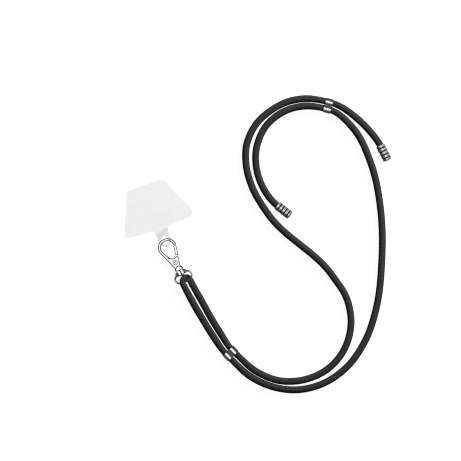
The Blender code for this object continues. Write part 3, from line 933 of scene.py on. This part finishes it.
@dataclass
class Rivet:
    """The gate's turned rivet, with a domed head and a dimple on each cheek."""

    shank: float = 1.2
    head: float = 2.5
    seat: float = 2.7
    head_thickness: float = 0.6
    dimple: float = 1.05
    dimple_depth: float = 0.32
    edge: float = 0.3
    pivot_x: float = 16.8

    def build(self, layout: Layout, material: bpy.types.Material) -> bpy.types.Object:
        """Make the rivet in place of its node."""
        top = self.seat + self.head_thickness
        floor = top - self.dimple_depth
        half = [
            (self.seat, self.shank), (self.seat, self.head), (top - self.edge, self.head),
            (top, self.head - 2 * self.edge), (top, self.dimple), (floor, 0.45 * self.dimple), (floor, 0.0),
        ]
        rows = [(-x, radius) for x, radius in reversed(half)] + half
        bm = spun(rounded(rows, 0.1), 64)
        bm.transform(Matrix.Rotation(math.pi / 2, 4, "Y"))
        bm = settled(bm, layout.hook_point(self.pivot_x, 0.0, 0.0), layout.hook_heading)
        piece = finished("gate_rivet_turned", bm, material, 60)
        return stands_for(piece, "gate_rivet", Body.HOOK)


@dataclass
class Patch:
    """The clear patch: a flared sheet with a soft outline, and a tab that lifts to the hook."""

    layout: Layout
    heading: float = math.radians(-69.84)
    thickness: float = 0.8
    length: float = 47.0
    half_width: float = 35.6
    tab_start_half: float = 6.6
    tab_half: float = 7.3
    hole: float = 4.5
    hole_shift: float = 0.4
    twist: float = math.radians(30)
    end_reach: float = 6.6
    crown_radius: float = 8.0
    columns: int = 14
    between: int = 4

    flat_rows = (
        (-0.570, 0.463), (-0.557, 0.522), (-0.528, 0.567), (-0.468, 0.612), (-0.170, 0.756),
        (0.149, 0.938), (0.255, 0.994), (0.319, 1.000), (0.366, 0.949), (0.396, 0.831),
        (0.404, 0.702), (0.411, 0.337), (0.430, 0.236),
    )

    def rows(self) -> tuple[list[tuple[float, ...]], float, float]:
        """The (d, n, half width, height, twist) rows, and the place of the hole."""
        crown = self.layout.crown
        across = flat(self.heading + math.pi / 2)
        reach = crown - crown.normalized() * self.crown_radius
        hole_d, hole_n = reach.dot(flat(self.heading)), reach.dot(across)
        middle = self.thickness / 2
        rows = [(d * self.length, 0.0, w * self.half_width, middle, 0.0) for d, w in self.flat_rows]
        start = rows[-1][0]
        for k in range(1, 7):
            t = k / 6
            ease = smoothed(t)
            rows.append((
                start + (hole_d - self.end_reach - start) * t, hole_n * ease,
                self.tab_start_half + (self.tab_half - self.tab_start_half) * t,
                middle + (self.layout.hook_height - middle) * ease, self.twist * ease,
            ))
        for degrees in range(0, 91, 6):
            angle = math.radians(min(degrees, 86))
            rows.append((
                hole_d + self.end_reach * math.sin(angle), hole_n, self.tab_half * math.cos(angle),
                self.layout.hook_height, self.twist,
            ))
        return rows, hole_d, hole_n

    def softened(self, rows: list[tuple[float, ...]]) -> list[tuple[float, ...]]:
        """More rows, on the smooth curves through the given ones, with d growing evenly."""
        made = []
        for i, (here, after) in enumerate(zip(rows, rows[1:])):
            before = rows[max(i - 1, 0)]
            beyond = rows[min(i + 2, len(rows) - 1)]
            for k in range(self.between):
                t = k / self.between
                smooth = [
                    b + 0.5 * t * (c - a + t * (2 * a - 5 * b + 4 * c - d + t * (3 * b - a - 3 * c + d)))
                    for a, b, c, d in zip(before, here, after, beyond)
                ]
                made.append((here[0] + (after[0] - here[0]) * t, *smooth[1:]))
        made.append(rows[-1])
        return made

    def build(self, material: bpy.types.Material) -> bpy.types.Object:
        """Make the patch in place of its node."""
        rows, hole_d, hole_n = self.rows()
        bm = bmesh.new()
        rings = []
        for d, n, half, height, twist in self.softened(rows):
            over, under = [], []
            for k in range(self.columns + 1):
                s = math.sin((k / self.columns - 0.5) * math.pi) * half
                foot = Vector((d, n + s * math.cos(twist), height + s * math.sin(twist)))
                up = Vector((0, -math.sin(twist), math.cos(twist))) * self.thickness / 2
                over.append(bm.verts.new(foot + up))
                under.append(bm.verts.new(foot - up))
            rings.append(over + under[::-1])
        for before, after in zip(rings, rings[1:]):
            for k in range(len(before)):
                m = (k + 1) % len(before)
                bm.faces.new((before[k], before[m], after[m], after[k]))
        bm.faces.new(rings[0])
        bm.faces.new(rings[-1])
        piece = finished("clear_patch_moulded", settled(bm, Vector((0, 0, 0)), self.heading), material, 40)
        rim = [Vector((-3, 0)), Vector((-3, self.hole)), Vector((3, self.hole)), Vector((3, 0))]
        tool = spun(rim, 64)
        tool.transform(Matrix.Rotation(self.twist, 4, "X") @ Matrix.Rotation(math.pi / 2, 4, "Y"))
        tool.transform(Matrix.Translation((hole_d + self.hole_shift, hole_n, self.layout.hook_height)))
        carve(piece, finished("hole", settled(tool, Vector((0, 0, 0)), self.heading), material, 40))
        soften_rims(piece, 0.22 * MM, 50)
        bake(piece, 50)
        return stands_for(piece, "phone_patch", Body.HOOK)


@dataclass
class Studio:
    """A pale floor, soft lights and the camera that looks straight down."""

    centre: tuple[float, float] = (0.0765, -0.0205)
    height: float = 3.0
    frame_side: float = IMAGE_SIDE * MM
    sensor: float = 36.0
    floor_side: float = 6.0

    def floor(self) -> None:
        """Lay the pale floor."""
        shader = Shader("pale_floor")
        seen = shader.add("ShaderNodeLightPath", out="Is Camera Ray")
        glow = shader.add("ShaderNodeEmission", {"Color": (1, 1, 1, 1), "Strength": 0.94})
        paint = shader.add("ShaderNodeBsdfDiffuse", {"Color": (0.12, 0.12, 0.12, 1)})
        both = shader.add("ShaderNodeAddShader", {0: glow, 1: paint})
        plain = shader.add("ShaderNodeBsdfDiffuse", {"Color": (0.05, 0.05, 0.05, 1)})
        surface = shader.add("ShaderNodeMixShader", {0: seen, 1: plain, 2: both})
        shader.tree.links.new(surface.socket, shader.output.inputs["Surface"])
        bm = bmesh.new()
        bmesh.ops.create_grid(bm, x_segments=1, y_segments=1, size=self.floor_side / 2)
        bmesh.ops.translate(bm, vec=(*self.centre, -0.0003), verts=bm.verts)
        finished("floor", bm, shader.material, 30)

    def area(self, name: str, place: tuple[float, float, float], size: float, power: float) -> None:
        """Hang one soft square light that faces the strap."""
        light = bpy.data.lights.new(name, "AREA")
        light.size = size
        light.energy = power
        lamp = bpy.data.objects.new(name, light)
        bpy.context.scene.collection.objects.link(lamp)
        lamp.location = place
        lamp.visible_glossy = False
        lamp.rotation_euler = (Vector(place) - Vector((*self.centre, 0))).to_track_quat("Z", "Y").to_euler()

    def sky(self) -> None:
        """Light the room evenly, with a darker band near the horizon for the metal to mirror."""
        world = bpy.data.worlds.new("studio")
        bpy.context.scene.world = world
        world.use_nodes = True
        tree = world.node_tree
        tree.nodes.clear()
        place = tree.nodes.new("ShaderNodeTexCoord")
        split = tree.nodes.new("ShaderNodeSeparateXYZ")
        ramp = tree.nodes.new("ShaderNodeValToRGB")
        light = tree.nodes.new("ShaderNodeBackground")
        output = tree.nodes.new("ShaderNodeOutputWorld")
        tree.links.new(place.outputs["Generated"], split.inputs[0])
        tree.links.new(split.outputs[2], ramp.inputs[0])
        tree.links.new(ramp.outputs[0], light.inputs[0])
        tree.links.new(light.outputs[0], output.inputs[0])
        stops = ((0.0, 0.04), (0.40, 0.05), (0.70, 0.09), (0.84, 0.18), (0.89, 0.35), (0.92, 1.0), (1.0, 1.0))
        while len(ramp.color_ramp.elements) < len(stops):
            ramp.color_ramp.elements.new(0.5)
        for element, (height, shade) in zip(ramp.color_ramp.elements, stops):
            element.position = height
            element.color = (shade, shade, shade, 1)
        light.inputs[1].default_value = 1.15

    def camera(self) -> None:
        """Point the camera straight down at the middle of the photograph's frame."""
        lens = bpy.data.cameras.new("camera")
        lens.sensor_width = self.sensor
        lens.lens = self.sensor * self.height / self.frame_side
        lens.clip_end = 20
        eye = bpy.data.objects.new("camera", lens)
        bpy.context.scene.collection.objects.link(eye)
        eye.location = (*self.centre, self.height)
        bpy.context.scene.camera = eye

    def build(self) -> None:
        """Set up the floor, lights, camera and picture settings."""
        self.floor()
        self.sky()
        self.camera()
        self.area("key", (1.3, 1.3, 1.1), 0.5, 130.0)
        bpy.context.scene.cycles.filter_width = 1.2
        view = bpy.context.scene.view_settings
        view.view_transform = "Standard"
        view.look = "None"


def main() -> None:
    logging.basicConfig(level=logging.INFO, format="%(name)s: %(message)s")
    for thing in list(bpy.data.objects):
        bpy.data.objects.remove(thing)
    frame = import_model()
    Studio().build()
    layout = Layout()
    nickel = NickelFinish().material()
    satin = NickelFinish("satin_nickel", (0.70, 0.70, 0.705, 1.0), (0.62, 0.62, 0.63, 1.0), 0.34, 0.84).material()
    # Painted shade: a near-black copy of the nickel for the faces of grooves, gaps and slits where shade falls.
    painted_shade = NickelFinish("shade_painted_nickel", (0.09, 0.09, 0.09, 1.0), (0.04, 0.04, 0.04, 1.0), 0.45).material()
    clear = ClearFinish().material()
    rope = Rope(layout)
    cord = rope.build(BraidFinish().material())
    on_cord = [
        Slide(layout).build("slide_upper", layout.upper_slide, layout.upper_heading, nickel),
        Slide(layout).build("slide_lower", layout.lower_slide, layout.lower_heading, nickel),
        Cap().build("end_cap_outer", layout.outer_cap, layout.outer_heading, satin, painted_shade),
        Cap().build("end_cap_inner", layout.inner_cap, layout.inner_heading, satin, painted_shade),
    ]
    milled = (
        ((24.8, -2.9, 2.75), (30.9, 2.9, 5.0), 0.0),
        ((24.8, -2.9, -5.0), (30.9, 2.9, -2.75), 0.0),
        ((24.8, -0.45, 1.6), (30.9, 0.45, 5.0), 0.25),
        ((30.4, -0.45, 1.2), (33.0, 0.45, 3.2), 0.25),
    )
    collar_flats = (
        ((21.0, -4.5, 2.95), (25.5, 4.5, 5.2), 0.0),
        ((21.0, -4.5, -5.2), (25.5, 4.5, -2.95), 0.0),
    )
    # Painted shade on the swivel: the gap between its collar and barrel, and the slit in its barrel's top.
    slit = (((20.0, -5.0, -5.0), (25.57, 5.0, 5.0)), ((25.0, -0.44, 0.8), (33.0, 0.44, 2.62)))
    # Painted shade on the hook frame at the gap by the end of its collar.
    mouth = (((25.24, -5.0, -5.0), (26.0, 5.0, 5.0)),)
    castings = (
        Casting("swivel_bail", Body.STRAP, cuts=milled, dark=slit),
        Casting("hook_frame", Body.HOOK, rounds=40, swell=0.14 * MM, cuts=collar_flats, dark=mouth),
        Casting("hook_gate", Body.GATE, voxel=0.1 * MM, rounds=30, swell=0.12 * MM),
    )
    for casting in castings:
        casting.build(frame, layout, nickel, painted_shade)
        LOG.info("cast: %s", casting.node)
    Rivet().build(layout, nickel)
    Patch(layout).build(clear)
    2 * rope.radius * MM


if __name__ == "__main__":
    main()
